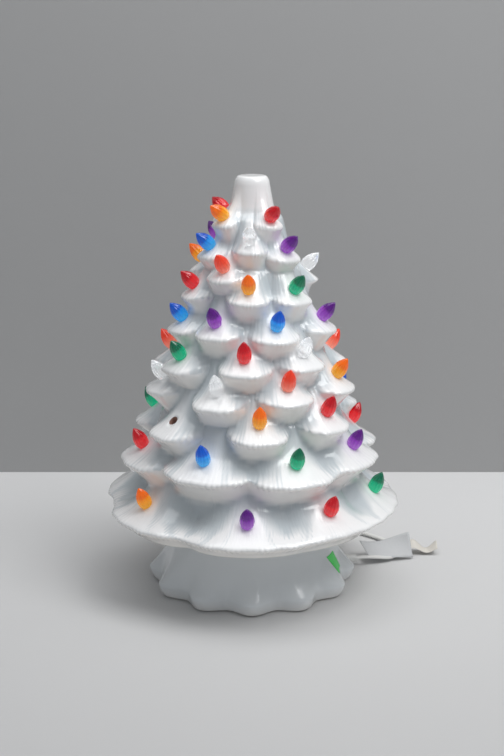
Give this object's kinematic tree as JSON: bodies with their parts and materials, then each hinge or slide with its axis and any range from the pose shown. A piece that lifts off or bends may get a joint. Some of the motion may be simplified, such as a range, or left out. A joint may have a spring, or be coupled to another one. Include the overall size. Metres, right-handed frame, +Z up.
{
  "type": "ceramic christmas tree",
  "caption": "Glazed white ceramic tree with tiers of drooping boughs and push-in plastic lights, lifting off a lobed base that holds a screw-in lamp and a mains cord.",
  "frame": {"origin": "on the floor, under the middle of the base", "axes": "+Z up the tree, -Y towards the front that the picture shows, +X to the right in that view"},
  "size_m": [0.3225, 0.3529, 0.3854],
  "materials": {
    "glaze": "gloss",
    "red_plastic": "translucent gloss",
    "coral_plastic": "translucent gloss",
    "amber_plastic": "translucent gloss",
    "green_plastic": "translucent gloss",
    "blue_plastic": "translucent gloss",
    "purple_plastic": "translucent gloss",
    "clear_plastic": "clear gloss",
    "socket_plastic": "matt",
    "brass": "bright",
    "steel": "satin",
    "lamp_glass": "clear",
    "lamp_insulation": "gloss",
    "cord_vinyl": "satin",
    "plug_vinyl": "satin",
    "paper": "matt"
  },
  "bodies": {
    "base": {"base_shell": "glaze", "socket_body": "socket_plastic", "socket_screw_shell": "brass", "socket_contact": "brass", "socket_clip": "steel", "cord_boot": "plug_vinyl", "cord_inner": "cord_vinyl", "cord_run": "cord_vinyl", "cord_coil": "cord_vinyl", "cord_tail": "cord_vinyl", "coil_tie": "plug_vinyl", "plug_body": "plug_vinyl", "plug_wide_blade": "brass", "plug_narrow_blade": "brass", "cord_tag": "paper", "cord_label": "paper"},
    "tree": {"tree_shell": "glaze", "red_lights": "red_plastic", "coral_lights": "coral_plastic", "amber_lights": "amber_plastic", "green_lights": "green_plastic", "blue_lights": "blue_plastic", "purple_lights": "purple_plastic", "clear_lights": "clear_plastic"},
    "lamp_core": {"lamp_stem": "lamp_glass", "lamp_filament": "steel"},
    "lamp": {"lamp_glass": "lamp_glass", "lamp_cap": "brass", "lamp_insulator": "lamp_insulation", "lamp_contact": "brass"}
  },
  "joints": [
    {"name": "tree_lift", "type": "slide", "parent": "base", "child": "tree", "axis": [0, 0, 1], "range_m": [0, 0.08]},
    {"name": "lamp_rise", "type": "slide", "parent": "base", "child": "lamp_core", "axis": [0, 0, 1], "range_m": [0, 0.0102]},
    {"name": "lamp_turn", "type": "hinge", "parent": "lamp_core", "child": "lamp", "pos_m": [0, 0, 0.076], "axis": [0, 0, 1], "range_deg": [0, 1440]}
  ],
  "couplings": [
    {"joint": "lamp_rise", "follows": "lamp_turn", "m_per_rad": 0.00040425}
  ]
}
